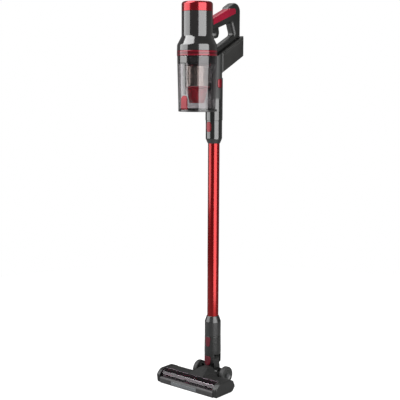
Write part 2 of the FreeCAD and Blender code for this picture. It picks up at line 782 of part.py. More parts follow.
# ---- floor head ---------------------------------------------------------------------------------
def cap_outline(inset):
    i = inset
    return [
        (-122 + i, 1.5 + i, 4),
        (-48 - 0.5 * i, 1.5 + i, 14),
        (-34 - i, 16, 8),
        (-43 - i, 34 - i, 10),
        (-61 - 0.5 * i, 41.5 - i, 14),
        (-109 + 0.5 * i, 41.5 - i, 20),
        (-126 + i, 27, 12),
    ]


def end_cap():
    """Right end cap; its outer rim is rounded."""
    body = slab_x(cap_outline(0), BODY_W + 0.2, HEAD_W)
    body = body.makeFillet(4.0, flat_edges(body, "x", (HEAD_W,)))
    hollow = slab_x([(a, b, max(r - 2.2, 1)) for a, b, r in cap_outline(2.4)], BODY_W, HEAD_W - 3.2)
    return body.cut(hollow)


def chassis():
    """Frame of the head: tray, chamber walls, side plates, and the arms that carry the axles."""
    tray = block(-BODY_W, BODY_W, -76, -44, 3.2, 5.4)
    chamber_wall = block(-BODY_W, BODY_W, -76, -74, 3.2, 38.4)
    front_sill = block(-BODY_W, BODY_W, -119, -117.2, 3.2, 19.6)
    rear_wall = block(-BODY_W, BODY_W, -46, -44, 3.2, 27)
    side_outline = [
        (-119, 3.2, 0),
        (-44, 3.2, 0),
        (-44, 27, 6),
        (-62, 37.4, 6),
        (-100, 37.4, 16),
        (-116, 30, 8),
        (-119, 19.6, 0),
    ]
    side = slab_x(side_outline, BODY_W - SIDE_T, BODY_W)
    arm_outline = [(-46, 6, 2), (-12, 8, 6), (9, 16, 9), (9, 36, 9), (-14, 36, 8), (-46, 27, 2)]
    arm = slab_x(arm_outline, ARM_X0, ARM_X1)
    duct = rod_y(DUCT_OUT, -75, -17, 0, AXLE_Z)
    saddles = [block(-84, -78, -74, -46, 5, 14), block(-52, -46, -74, -46, 5, 14)]
    sides = [side, mirrored(side), arm, mirrored(arm)]
    body = fuse([tray, chamber_wall, front_sill, rear_wall, duct] + sides + saddles)
    bore = rod_y(HEAD_BORE, -80, -10, 0, AXLE_Z)
    barrel_room = rod_x(BARREL_R + 0.6, -40, 40, 0, AXLE_Z).common(block(-28.6, 28.6, -60, 60, 0, 90))
    brush_holes = rod_x(8, -HEAD_W, HEAD_W, BRUSH_Y, BRUSH_Z)
    shaft_hole = rod_x(2.2, -HEAD_W, -95, MOTOR_Y, MOTOR_Z)
    motor_room = rod_x(MOTOR_R + 0.05, -93, -36, MOTOR_Y, MOTOR_Z)
    axle_holes = rod_x(4, -60, 60, 0, AXLE_Z)
    return cut(body, [bore, barrel_room, brush_holes, shaft_hole, motor_room, axle_holes])


def sole_plate():
    """Bottom plate with the suction mouth; its front skids and rear pads touch the floor."""
    plate = block(-BODY_W, BODY_W, -119.1, -44, 1, 3.1)
    mouth = slab_z([(-96, -114.5, 4), (96, -114.5, 4), (96, -76.1, 4), (-96, -76.1, 4)], -5, 10)
    skids = [block(x - 16, x + 16, -118.9, -115, 0, 1.2) for x in (-78, 0, 78)]
    pads = [block(x - 10, x + 10, -60, -50, 0, 1.2) for x in (-80, 80)]
    return cut(fuse([plate] + skids + pads), [mouth])


def rear_squeegee():
    """Rubber lip across the back of the mouth, with the foot that holds it."""
    lip = block(-94, 94, -79.3, -77.6, 0.5, 5.0)
    foot = block(-94, 94, -79.3, -76.2, 3.3, 5.0)
    return fuse([lip, foot])


def top_cover():
    """Roof behind the window, folding down to the rear."""
    outer = [(-96.6, 41.5, 0), (-60, 40.6, 14), (-42.5, 31, 10), (-38, 17, 5), (-41.2, 11, 0)]
    inner = [(-43.5, 11, 0), (-40.2, 17.4, 4), (-44.2, 29.6, 8), (-61, 38.4, 12), (-96.6, 39.3, 0)]
    roof = slab_x(outer + inner, -BODY_W, BODY_W)
    slot = block(ARM_X0 - 0.4, ARM_X1 + 0.4, -47, -30, 0, 40)
    return cut(roof, [slot, mirrored(slot), rod_y(DUCT_OUT + 0.5, -70, -30, 0, AXLE_Z)])


def hump_block(inset):
    """Outside of the raised cover, drawn in by inset."""
    top, low = HUMP_TOP - inset, HUMP_BASE - 12
    rear = -35.5 - inset
    side = [(-98 + inset, HUMP_BASE, 0), (-54, top, 20), (rear, top, 4), (rear, low, 0), (-60, low, 0)]
    half = HUMP_BASE_W - inset
    front = [
        (HUMP_X - half - 4, low, 0),
        (HUMP_X - half, HUMP_BASE, 0),
        (HUMP_X - HUMP_TOP_W, top + 0.5, 16),
        (HUMP_X + HUMP_TOP_W, top + 0.5, 16),
        (HUMP_X + half, HUMP_BASE, 0),
        (HUMP_X + half + 4, low, 0),
    ]
    return slab_x(side, -60, 80).common(slab_y(front, -120, -20))


def roof_solid():
    """Everything under the roof's outer face."""
    outline = [
        (-130, 0, 0),
        (-130, 41.6, 0),
        (-96.6, 41.6, 0),
        (-60, 40.7, 14),
        (-42.4, 31, 10),
        (-37.9, 17, 5),
        (-41.2, 10.9, 0),
        (-41.2, 0, 0),
    ]
    return slab_x(outline, -120, 120)


def hump_cover():
    """Raised cover in front of the neck."""
    shell = hump_block(0).cut(hump_block(2.4))
    arm_room = block(ARM_X0 - 0.4, ARM_X1 + 0.4, -50, -30, 20, 36.5)
    return cut(shell, [roof_solid(), arm_room, rod_y(DUCT_OUT + 0.5, -70, -30, 0, AXLE_Z)])


def window():
    """Clear quarter cylinder over the brush."""
    outer = rod_x(WINDOW_R, -BODY_W, BODY_W, BRUSH_Y, BRUSH_Z)
    inner = rod_x(WINDOW_R - 1.8, -BODY_W - 1, BODY_W + 1, BRUSH_Y, BRUSH_Z)
    quarter = block(-BODY_W - 2, BODY_W + 2, BRUSH_Y - 40, BRUSH_Y + 0.2, BRUSH_Z, 60)
    side_plates = [block(BODY_W - 2.7, 200, -140, -60, 0, 38), block(-200, -BODY_W + 2.7, -140, -60, 0, 38)]
    return cut(outer.cut(inner).common(quarter), side_plates)


def front_bumper():
    """Strip under the window, with the bay of the light strip."""
    outline = [
        (-119.2, 1, 0),
        (-123, 1, 2),
        (-125.2, 5, 2),
        (-125.2, 16, 3),
        (-122, 19.8, 1.5),
        (-119.2, 19.8, 0),
    ]
    strip = slab_x(outline, -BODY_W, BODY_W)
    lens_bay = block(-57.3, 40.3, -130, -121.2, 3.7, 15.3)
    cable_bay = block(-50, 34, -122, -119, 6, 13)
    return cut(strip, [lens_bay, cable_bay])


def led_lens():
    body = block(-57, 40, -125.5, -121.4, 4, 15)
    return body.makeFillet(1.2, flat_edges(body, "y", (-125.5,)))


# ---- brush and its drive ------------------------------------------------------------------------
def pulley_radius(teeth):
    return teeth * TOOTH_PITCH / (2 * math.pi)


def toothed_pulley(teeth, bore, y, z):
    radius = pulley_radius(teeth)
    wheel = rod_x(radius, BELT_X0 + 0.3, BELT_X1 - 0.3, y, z)
    grooves = []
    for i in range(teeth):
        groove = rod_x(0.55, BELT_X0 - 1, BELT_X1 + 1, y, z + radius)
        groove.rotate(V(0, y, z), V(1, 0, 0), 360.0 * i / teeth)
        grooves.append(groove)
    wheel = wheel.cut(Part.makeCompound(grooves))
    return wheel.cut(rod_x(bore, BELT_X0 - 5, BELT_X1 + 5, y, z))


def brush_roll():
    """Core of the brush with its end shafts and the toothed pulley at its left end."""
    core = rod_x(CORE_R, -96.5, 96.5, BRUSH_Y, BRUSH_Z)
    shaft = rod_x(4, BELT_X0 - 0.5, BODY_W + 3, BRUSH_Y, BRUSH_Z)
    return fuse([core, shaft, toothed_pulley(BRUSH_TEETH, 3.0, BRUSH_Y, BRUSH_Z)])


def motor_pulley():
    pulley = toothed_pulley(MOTOR_TEETH, 1.0, MOTOR_Y, MOTOR_Z)
    return fuse([pulley, rod_x(1.5, BELT_X0, -89, MOTOR_Y, MOTOR_Z)])


def belt_face(offset):
    """Outline round both pulleys, offset from them, in the plane across the brush's axis."""
    r1, r2 = pulley_radius(BRUSH_TEETH) + offset, pulley_radius(MOTOR_TEETH) + offset
    c1, c2 = V(BELT_X0, BRUSH_Y, BRUSH_Z), V(BELT_X0, MOTOR_Y, MOTOR_Z)
    along = (c2 - c1).normalize()
    up = V(1, 0, 0).cross(along)
    lean = math.asin((r1 - r2) / (c2 - c1).Length)
    tangents = []
    for side in (1, -1):
        tangents.append(along * math.sin(lean) + up * (side * math.cos(lean)))
    top, bottom = tangents
    edges = [
        Part.LineSegment(c1 + top * r1, c2 + top * r2).toShape(),
        Part.Arc(c2 + top * r2, c2 + along * r2, c2 + bottom * r2).toShape(),
        Part.LineSegment(c2 + bottom * r2, c1 + bottom * r1).toShape(),
        Part.Arc(c1 + bottom * r1, c1 - along * r1, c1 + top * r1).toShape(),
    ]
    return Part.Face(Part.Wire(edges))


def drive_belt():
    outer = belt_face(1.5).extrude(V(BELT_X1 - BELT_X0, 0, 0))
    inner = belt_face(0.15).extrude(V(BELT_X1 - BELT_X0, 0, 0))
    return outer.cut(inner)


def brush_bristles():
    """Bristle strips that wind round the core, as short straight lengths."""
    lengths = []
    segments, rows = 16, 4
    length = 188.0 / segments
    root, tip = BRUSH_Z + CORE_R - 0.4, BRUSH_Z + BRUSH_R - 0.1
    for row in range(rows):
        for i in range(segments):
            x = -94 + i * length
            strip = block(x, x + length - 0.4, BRUSH_Y - 1.6, BRUSH_Y + 1.6, root, tip)
            turn = 360 / rows * row + 11 * abs(i + 0.5 - segments / 2)
            strip.rotate(V(0, BRUSH_Y, BRUSH_Z), V(1, 0, 0), turn)
            lengths.append(strip)
    return Part.makeCompound(lengths)


def brush_bearings():
    """Flanged bushes in the side plates."""
    bush = rod_x(7.95, BODY_W - SIDE_T, BODY_W + 1, BRUSH_Y, BRUSH_Z)
    flange = rod_x(9.5, BODY_W + 0.02, BODY_W + 2, BRUSH_Y, BRUSH_Z)
    right = fuse([bush, flange]).cut(rod_x(4 + RUN, 80, 120, BRUSH_Y, BRUSH_Z))
    return Part.makeCompound([right, mirrored(right)])


def brush_motor():
    can = rod_x(MOTOR_R, -92, -38, MOTOR_Y, MOTOR_Z)
    can = can.makeChamfer(1.2, flat_edges(can, "x", (-92, -38)))
    return can.cut(rod_x(1.5 + RUN, -100, -85, MOTOR_Y, MOTOR_Z))


# ---- wheels -------------------------------------------------------------------------------------
def wheel():
    """Right wheel hub with a dished outer face."""
    x0, x1 = WHEEL_X, WHEEL_X + WHEEL_W
    hub = rod_x(20.5, x0, x1, 0, AXLE_Z)
    dish = Part.makeCone(12, 17.5, 4, V(x1 - 3.5, 0, AXLE_Z), V(1, 0, 0))
    boss = rod_x(7.5, x1 - 6, x1 - 0.4, 0, AXLE_Z)
    inner_dish = rod_x(17, x0 - 1, x0 + 6, 0, AXLE_Z).cut(rod_x(7.5, x0 - 2, x0 + 7, 0, AXLE_Z))
    hub = fuse([hub.cut(dish).cut(inner_dish), boss])
    return hub.cut(rod_x(4 + RUN, 30, 80, 0, AXLE_Z))


def tyre():
    x0, x1 = WHEEL_X, WHEEL_X + WHEEL_W
    ring = rod_x(WHEEL_R, x0, x1, 0, AXLE_Z)
    ring = ring.makeFillet(3.0, flat_edges(ring, "x", (x0, x1)))
    return ring.cut(rod_x(20.5, x0 - 1, x1 + 1, 0, AXLE_Z))


def wheel_axles():
    """Two stub axles, each with a head outside its wheel."""
    right = rod_x(4, 13.6, WHEEL_X + WHEEL_W + 0.6, 0, AXLE_Z)
    head = rod_x(6, WHEEL_X + WHEEL_W + 0.3, WHEEL_X + WHEEL_W + 1.8, 0, AXLE_Z)
    right = right.fuse(head).removeSplitter()
    return Part.makeCompound([right, mirrored(right)])


# ---- everything ---------------------------------------------------------------------------------
def main():
    os.makedirs("parts", exist_ok=True)
    handle_left, handle_right, grip_inlay = handle_pieces()
    battery_case, battery_top = battery_pieces()
    right_cap = end_cap()
    right_wheel = wheel()
    right_tyre = tyre()
    pieces = {
        "motor_housing": motor_housing(),
        "red_ring": red_ring(),
        "bulkhead": bulkhead(),
        "motor_can": motor_can(),
        "motor_mount": motor_mount(),
        "motor_shaft": motor_shaft(),
        "impeller": impeller(),
        "filter_cap": filter_cap(),
        "hepa_filter": hepa_filter(),
        "bin_shell": bin_shell(),
        "lid_hinge_pin": lid_hinge_pin(),
        "bin_lid": bin_lid(),
        "lid_seal": lid_seal(),
        "cyclone_top": cyclone_top(),
        "cyclone_ring": cyclone_ring(),
        "cyclone_shroud": cyclone_shroud(),
        "cyclone_cone": cyclone_cone(),
        "latch_rail": latch_rail(),
        "lid_latch": lid_latch(),
        "inlet_duct": inlet_duct(),
        "bin_button": bin_button(),
        "handle_left": handle_left,
        "handle_right": handle_right,
        "grip_inlay": grip_inlay,
        "trigger": trigger(),
        "trigger_switch": trigger_switch(),
        "battery_case": battery_case,
        "battery_top": battery_top,
        "battery_button": battery_button(),
        "battery_cells": battery_cells(),
        "wand_upper_connector": wand_upper_connector(),
        "wand_button": wand_button(),
        "wand_tube": wand_tube(),
        "wand_lower_connector": wand_lower_connector(),
        "neck_tube": neck_tube(),
        "neck_button": neck_button(),
        "neck_trim": neck_trim(),
        "swivel_pins": swivel_pins(),
        "swivel_yoke": swivel_yoke(),
        "chassis": chassis(),
        "sole_plate": sole_plate(),
        "rear_squeegee": rear_squeegee(),
        "top_cover": top_cover(),
        "hump_cover": hump_cover(),
        "window": window(),
        "front_bumper": front_bumper(),
        "led_lens": led_lens(),
        "end_cap_right": right_cap,
        "end_cap_left": mirrored(right_cap),
        "brush_roll": brush_roll(),
        "motor_pulley": motor_pulley(),
        "drive_belt": drive_belt(),
        "brush_bristles": brush_bristles(),
        "brush_bearings": brush_bearings(),
        "brush_motor": brush_motor(),
        "wheel_right": right_wheel,
        "wheel_left": mirrored(right_wheel),
        "tyre_right": right_tyre,
        "tyre_left": mirrored(right_tyre),
        "wheel_axles": wheel_axles(),
    }
    for name, shape in pieces.items():
        save(name, shape)
    print(len(pieces), "pieces")


main()
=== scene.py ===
"""Looks of the cordless stick vacuum: materials, brush bristles, light, floor and camera."""
import bpy
import bmesh
import json
import math
import random
from mathutils import Matrix, Vector


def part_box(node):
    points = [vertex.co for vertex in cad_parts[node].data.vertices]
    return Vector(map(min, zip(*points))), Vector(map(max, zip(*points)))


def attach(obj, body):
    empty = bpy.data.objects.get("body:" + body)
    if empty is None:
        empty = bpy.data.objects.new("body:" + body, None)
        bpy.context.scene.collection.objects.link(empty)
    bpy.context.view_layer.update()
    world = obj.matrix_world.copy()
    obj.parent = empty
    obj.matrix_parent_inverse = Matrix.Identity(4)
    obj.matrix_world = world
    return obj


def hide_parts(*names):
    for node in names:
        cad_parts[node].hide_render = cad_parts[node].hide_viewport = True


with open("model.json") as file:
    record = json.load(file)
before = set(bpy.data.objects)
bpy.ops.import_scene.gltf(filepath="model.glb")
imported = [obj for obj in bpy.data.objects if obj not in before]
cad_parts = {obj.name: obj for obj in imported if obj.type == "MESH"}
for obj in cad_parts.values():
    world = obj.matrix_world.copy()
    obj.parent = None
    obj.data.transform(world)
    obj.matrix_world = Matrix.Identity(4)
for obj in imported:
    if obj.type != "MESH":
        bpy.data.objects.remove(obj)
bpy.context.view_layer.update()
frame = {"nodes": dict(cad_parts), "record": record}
nodes = frame["nodes"]


# ---- node helpers -------------------------------------------------------------------------------
def new_material(name):
    """An empty material with one Principled shader: the material, its node tree and the shader."""
    material = bpy.data.materials.new(name)
    material.use_nodes = True
    tree = material.node_tree
    tree.nodes.clear()
    output = tree.nodes.new("ShaderNodeOutputMaterial")
    shader = tree.nodes.new("ShaderNodeBsdfPrincipled")
    tree.links.new(shader.outputs[0], output.inputs[0])
    return material, tree, shader


def coordinates(tree, scale=(1, 1, 1)):
    """The point in metres in its own piece's frame; a small scale stretches a pattern."""
    place = tree.nodes.new("ShaderNodeTexCoord")
    mapping = tree.nodes.new("ShaderNodeMapping")
    mapping.inputs["Scale"].default_value = scale
    tree.links.new(place.outputs["Object"], mapping.inputs["Vector"])
    return mapping.outputs[0]


def local_height(tree):
    """Height of the point within its own piece."""
    split = tree.nodes.new("ShaderNodeSeparateXYZ")
    tree.links.new(coordinates(tree), split.inputs[0])
    return split.outputs[2]


def noise(tree, vector, scale, detail=3.0, roughness=0.55):
    """Cloudy pattern around 0.5, with scale features to the metre."""
    node = tree.nodes.new("ShaderNodeTexNoise")
    node.inputs["Scale"].default_value = scale
    node.inputs["Detail"].default_value = detail
    node.inputs["Roughness"].default_value = roughness
    tree.links.new(vector, node.inputs["Vector"])
    return node.outputs[0]


def math_node(tree, operation, a, b=0.0):
    """One sum on two values; each is a number or a socket."""
    node = tree.nodes.new("ShaderNodeMath")
    node.operation = operation
    for i, value in enumerate((a, b)):
        if isinstance(value, (int, float)):
            node.inputs[i].default_value = value
        else:
            tree.links.new(value, node.inputs[i])
    return node.outputs[0]


def ranged(tree, value, low, high, start=0.3, end=0.7):
    """The value, spread from start..end onto low..high."""
    node = tree.nodes.new("ShaderNodeMapRange")
    node.inputs["From Min"].default_value = start
    node.inputs["From Max"].default_value = end
    node.inputs["To Min"].default_value = low
    node.inputs["To Max"].default_value = high
    tree.links.new(value, node.inputs["Value"])
    return node.outputs[0]


def colour_mix(tree, factor, a, b):
    """Colour a where the factor is 0, and b where it is 1; each is a colour or a socket."""
    node = tree.nodes.new("ShaderNodeMix")
    node.data_type = "RGBA"
    tree.links.new(factor, node.inputs["Factor"])
    for socket, value in ((node.inputs[6], a), (node.inputs[7], b)):
        if isinstance(value, tuple):
            socket.default_value = (*value, 1.0)
        else:
            tree.links.new(value, socket)
    return node.outputs[2]


def edge_mask(tree, radius):
    """1 on edges and 0 on flats, from how far a rounded normal turns; and that rounded normal."""
    rounded = tree.nodes.new("ShaderNodeBevel")
    rounded.samples = 4
    rounded.inputs["Radius"].default_value = radius
    geometry = tree.nodes.new("ShaderNodeNewGeometry")
    dot = tree.nodes.new("ShaderNodeVectorMath")
    dot.operation = "DOT_PRODUCT"
    tree.links.new(rounded.outputs[0], dot.inputs[0])
    tree.links.new(geometry.outputs["Normal"], dot.inputs[1])
    return ranged(tree, dot.outputs["Value"], 1.0, 0.0, 0.75, 0.99), rounded.outputs[0]


def bumped(tree, shader, height, distance, strength=1.0, normal=None):
    """Raises the surface by up to distance, in metres, where the height is 1."""
    node = tree.nodes.new("ShaderNodeBump")
    node.inputs["Strength"].default_value = strength
    node.inputs["Distance"].default_value = distance
    tree.links.new(height, node.inputs["Height"])
    if normal is not None:
        tree.links.new(normal, node.inputs["Normal"])
    tree.links.new(node.outputs[0], shader.inputs["Normal"])


def shade(colour, factor):
    """The colour, lighter or darker."""
    return tuple(min(1.0, c * factor) for c in colour)


# ---- materials ----------------------------------------------------------------------------------
# Scales are features to the metre, and widths and depths are metres.
DRIFT_SCALE = 9.0               # slow change of a moulding's colour
SMUDGE_SCALE = 26.0             # handling marks, which change the gloss
EDGE_WEAR_AND_HIGHLIGHT_SCALE = 160.0              # patches along the lighter edges, partly wear and partly painted highlight
GRAIN_SCALE = 1700.0            # grain of a moulding's skin
GRAIN_DEPTH = 0.00004           # grain of a polished moulding
COARSE_DEPTH = 0.0003           # what full grain adds to it
EDGE_WIDTH = 0.0004             # how wide an edge catches the light
COAT_ROUGHNESS = 0.06

GLOSS_SHARE = 0.32              # share of the duct's height that is polished
GLOSS_EDGE = 0.004              # half the height over which polish turns matt
MATT_ROUGHNESS = 0.36           # what the matt part adds to the polished part's roughness
DUCT_EDGE_HIGHLIGHT_GAIN = 3.0            # how much lighter the duct's edges are painted, a painted edge highlight

RIM_HIGHLIGHT_START, RIM_HIGHLIGHT_END = 0.35, 0.55      # shares of the ring's half height where its painted rim highlights brighten
BAND_SHADE = 0.4                # the ring's middle band against its painted rim highlights


def drifting(tree, colour, spread, scale=DRIFT_SCALE):
    """The colour, lighter and darker by spread in slow patches."""
    amount = ranged(tree, noise(tree, coordinates(tree), scale, 4.0), 0, 1)
    return colour_mix(tree, amount, shade(colour, 1 - spread), shade(colour, 1 + spread))


def smudged(tree, roughness):
    """The roughness, varied by handling marks."""
    marks = noise(tree, coordinates(tree), SMUDGE_SCALE, 5.0, 0.65)
    return ranged(tree, marks, roughness * 0.85, roughness * 1.2)


def grained(tree, shader, grain, normal):
    """Fine skin of a moulding, from 0, polished, to 1, coarse."""
    fine = noise(tree, coordinates(tree), GRAIN_SCALE, 2.0)
    bumped(tree, shader, fine, GRAIN_DEPTH + COARSE_DEPTH * grain, 0.25 + 0.6 * grain, normal)


def moulded(name, colour, roughness, grain=0.0, coat=0.0, metallic=0.0, spread=0.25,
            edge=EDGE_WIDTH, wear=1.6):
    """Moulded or lacquered plastic: slow colour drift, fine grain, and lighter edges, partly wear and
    partly a painted edge highlight.
    """
    material, tree, shader = new_material(name)
    mask, rounded = edge_mask(tree, edge)
    patches = ranged(tree, noise(tree, coordinates(tree), EDGE_WEAR_AND_HIGHLIGHT_SCALE), 0.25, 1.0)
    # lighter edges: partly wear, partly a painted highlight where the edges would catch the light
    worn_and_highlit = shade(tuple(c + 0.012 for c in colour), wear)
    base = drifting(tree, colour, spread)
    base = colour_mix(tree, math_node(tree, "MULTIPLY", mask, patches), base, worn_and_highlit)
    tree.links.new(base, shader.inputs["Base Color"])
    tree.links.new(smudged(tree, roughness), shader.inputs["Roughness"])
    shader.inputs["Metallic"].default_value = metallic
    shader.inputs["Coat Weight"].default_value = coat
    shader.inputs["Coat Roughness"].default_value = COAT_ROUGHNESS
    grained(tree, shader, grain, rounded)
    return material


def half_glossy(name, colour, roughness, node):
    """Moulded plastic that is polished at the node's foot and matt above, with painted highlights on its
    edges.
    """
    material, tree, shader = new_material(name)
    low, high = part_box(node)
    change = low[2] + (high[2] - low[2]) * GLOSS_SHARE
    matt = ranged(tree, local_height(tree), 0.0, 1.0, change - GLOSS_EDGE, change + GLOSS_EDGE)
    mask, rounded = edge_mask(tree, EDGE_WIDTH)
    # edges painted lighter: a painted highlight
    base = colour_mix(tree, mask, drifting(tree, colour, 0.25), shade(colour, DUCT_EDGE_HIGHLIGHT_GAIN))
    tree.links.new(base, shader.inputs["Base Color"])
    added = math_node(tree, "MULTIPLY", matt, MATT_ROUGHNESS)
    rough = math_node(tree, "ADD", smudged(tree, roughness), added)
    tree.links.new(rough, shader.inputs["Roughness"])
    tree.links.new(ranged(tree, matt, 0.9, 0.0, 0.0, 1.0), shader.inputs["Coat Weight"])
    shader.inputs["Coat Roughness"].default_value = COAT_ROUGHNESS
    grained(tree, shader, 0.0, rounded)
    return material


def ring_with_painted_rim_highlights(name, colour, roughness, node):
    """Lacquered ring: a dark band between two painted highlights, bright lines at its rims."""
    material, tree, shader = new_material(name)
    low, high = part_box(node)
    middle, half = (low[2] + high[2]) / 2, (high[2] - low[2]) / 2
    offset = math_node(tree, "ABSOLUTE", math_node(tree, "SUBTRACT", local_height(tree), middle))
    rim_highlight = ranged(tree, offset, 0.0, 1.0, half * RIM_HIGHLIGHT_START, half * RIM_HIGHLIGHT_END)
    red = drifting(tree, colour, 0.15, 14.0)
    # rims at full red and the middle darker: painted highlights along the rims
    tree.links.new(colour_mix(tree, rim_highlight, shade(colour, BAND_SHADE), red), shader.inputs["Base Color"])
    tree.links.new(smudged(tree, roughness), shader.inputs["Roughness"])
    shader.inputs["Metallic"].default_value = 0.4
    shader.inputs["Coat Weight"].default_value = 0.6
    bumped(tree, shader, rim_highlight, 0.0002, 0.5)
    return material


def anodised(name, colour, roughness):
    """Anodised aluminium tube: fine lines drawn along its length."""
    material, tree, shader = new_material(name)
    lines = noise(tree, coordinates(tree, (1, 1, 0.012)), 900.0, 3.0, 0.7)
    drift = noise(tree, coordinates(tree), 5.0, 2.0)
    base = colour_mix(tree, ranged(tree, lines, 0, 1), shade(colour, 0.93), shade(colour, 1.07))
    base = colour_mix(tree, ranged(tree, drift, 0, 0.35), base, shade(colour, 0.8))
    tree.links.new(base, shader.inputs["Base Color"])
    tree.links.new(ranged(tree, lines, roughness * 0.93, roughness * 1.08), shader.inputs["Roughness"])
    shader.inputs["Metallic"].default_value = 0.8
    shader.inputs["Coat Weight"].default_value = 0.35
    shader.inputs["Coat Roughness"].default_value = 0.1
    bumped(tree, shader, lines, 0.00001, 0.2)
    return material


def clear(name, tint, roughness, ripple=0.00008, ior=1.49):
    """Smoke-tinted clear plastic with faint moulding streaks and fine scratches."""
    material, tree, shader = new_material(name)
    streaks = noise(tree, coordinates(tree, (1, 1, 0.15)), 40.0, 4.0)
    base = colour_mix(tree, ranged(tree, streaks, 0, 1), shade(tint, 0.96), shade(tint, 1.04))
    tree.links.new(base, shader.inputs["Base Color"])
    haze = noise(tree, coordinates(tree), 130.0, 5.0, 0.7)
    tree.links.new(ranged(tree, haze, roughness * 0.5, roughness * 2.0), shader.inputs["Roughness"])
    shader.inputs["Transmission Weight"].default_value = 1.0
    shader.inputs["IOR"].default_value = ior
    bumped(tree, shader, streaks, ripple, 0.25)
    return material


def frosted_lens(name, colour):
    """Frosted light strip with fine upright prisms."""
    material, tree, shader = new_material(name)
    prisms = tree.nodes.new("ShaderNodeTexWave")
    prisms.bands_direction = "X"
    prisms.inputs["Scale"].default_value = 110.0
    prisms.inputs["Distortion"].default_value = 0.2
    tree.links.new(coordinates(tree), prisms.inputs["Vector"])
    base = colour_mix(tree, prisms.outputs["Fac"], shade(colour, 0.75), shade(colour, 1.1))
    tree.links.new(base, shader.inputs["Base Color"])
    frost = noise(tree, coordinates(tree), 600.0)
    tree.links.new(ranged(tree, frost, 0.18, 0.38), shader.inputs["Roughness"])
    shader.inputs["Transmission Weight"].default_value = 0.25
    bumped(tree, shader, prisms.outputs["Fac"], 0.0004, 0.6)
    return material


def rubber(name, colour, roughness):
    """Matt rubber with a little dust in its grain."""
    material, tree, shader = new_material(name)
    dust = noise(tree, coordinates(tree), 60.0, 5.0, 0.7)
    base = colour_mix(tree, ranged(tree, dust, 0, 1), shade(colour, 0.8), shade(colour, 1.5))
    tree.links.new(base, shader.inputs["Base Color"])
    tree.links.new(ranged(tree, dust, roughness - 0.1, roughness + 0.1), shader.inputs["Roughness"])
    bumped(tree, shader, noise(tree, coordinates(tree), 900.0), 0.0002, 0.5)
    return material


def perforated_steel(name, colour):
    """Fine etched screen: rows of small dark holes."""
    material, tree, shader = new_material(name)
    cells = tree.nodes.new("ShaderNodeTexVoronoi")
    cells.inputs["Scale"].default_value = 620.0
    cells.inputs["Randomness"].default_value = 0.15
    tree.links.new(coordinates(tree), cells.inputs["Vector"])
    hole = ranged(tree, cells.outputs["Distance"], 1.0, 0.0, 0.22, 0.4)
    base = colour_mix(tree, hole, colour, shade(colour, 0.12))
    tree.links.new(base, shader.inputs["Base Color"])
    polish = noise(tree, coordinates(tree), 80.0)
    tree.links.new(ranged(tree, polish, 0.16, 0.26), shader.inputs["Roughness"])
    shader.inputs["Metallic"].default_value = 0.9
    bumped(tree, shader, cells.outputs["Distance"], 0.0003, 0.8)
    return material


def brushed(name, colour, roughness):
    """Brushed metal with fine straight lines."""
    material, tree, shader = new_material(name)
    lines = noise(tree, coordinates(tree, (0.05, 1, 1)), 1200.0, 3.0, 0.7)
    base = colour_mix(tree, ranged(tree, lines, 0, 1), shade(colour, 0.8), shade(colour, 1.1))
    tree.links.new(base, shader.inputs["Base Color"])
    tree.links.new(ranged(tree, lines, roughness * 0.8, roughness * 1.3), shader.inputs["Roughness"])
    shader.inputs["Metallic"].default_value = 1.0
    bumped(tree, shader, lines, 0.00003, 0.4)
    return material


def fibre(name, colour, tip):
    """Nylon or paper fibres, from one colour to the other in fine strands."""
    material, tree, shader = new_material(name)
    strands = noise(tree, coordinates(tree, (1, 0.2, 0.2)), 1500.0, 3.0, 0.7)
    base = colour_mix(tree, ranged(tree, strands, 0, 1), colour, tip)
    tree.links.new(base, shader.inputs["Base Color"])
    tree.links.new(ranged(tree, strands, 0.55, 0.8), shader.inputs["Roughness"])
    shader.inputs["Sheen Weight"].default_value = 0.08
    shader.inputs["Specular IOR Level"].default_value = 0.15
    bumped(tree, shader, strands, 0.0003, 0.6)
    return material


def finish(builder, **settings):
    """One line of the table below: the function that makes a material, and its settings."""
    return builder, settings


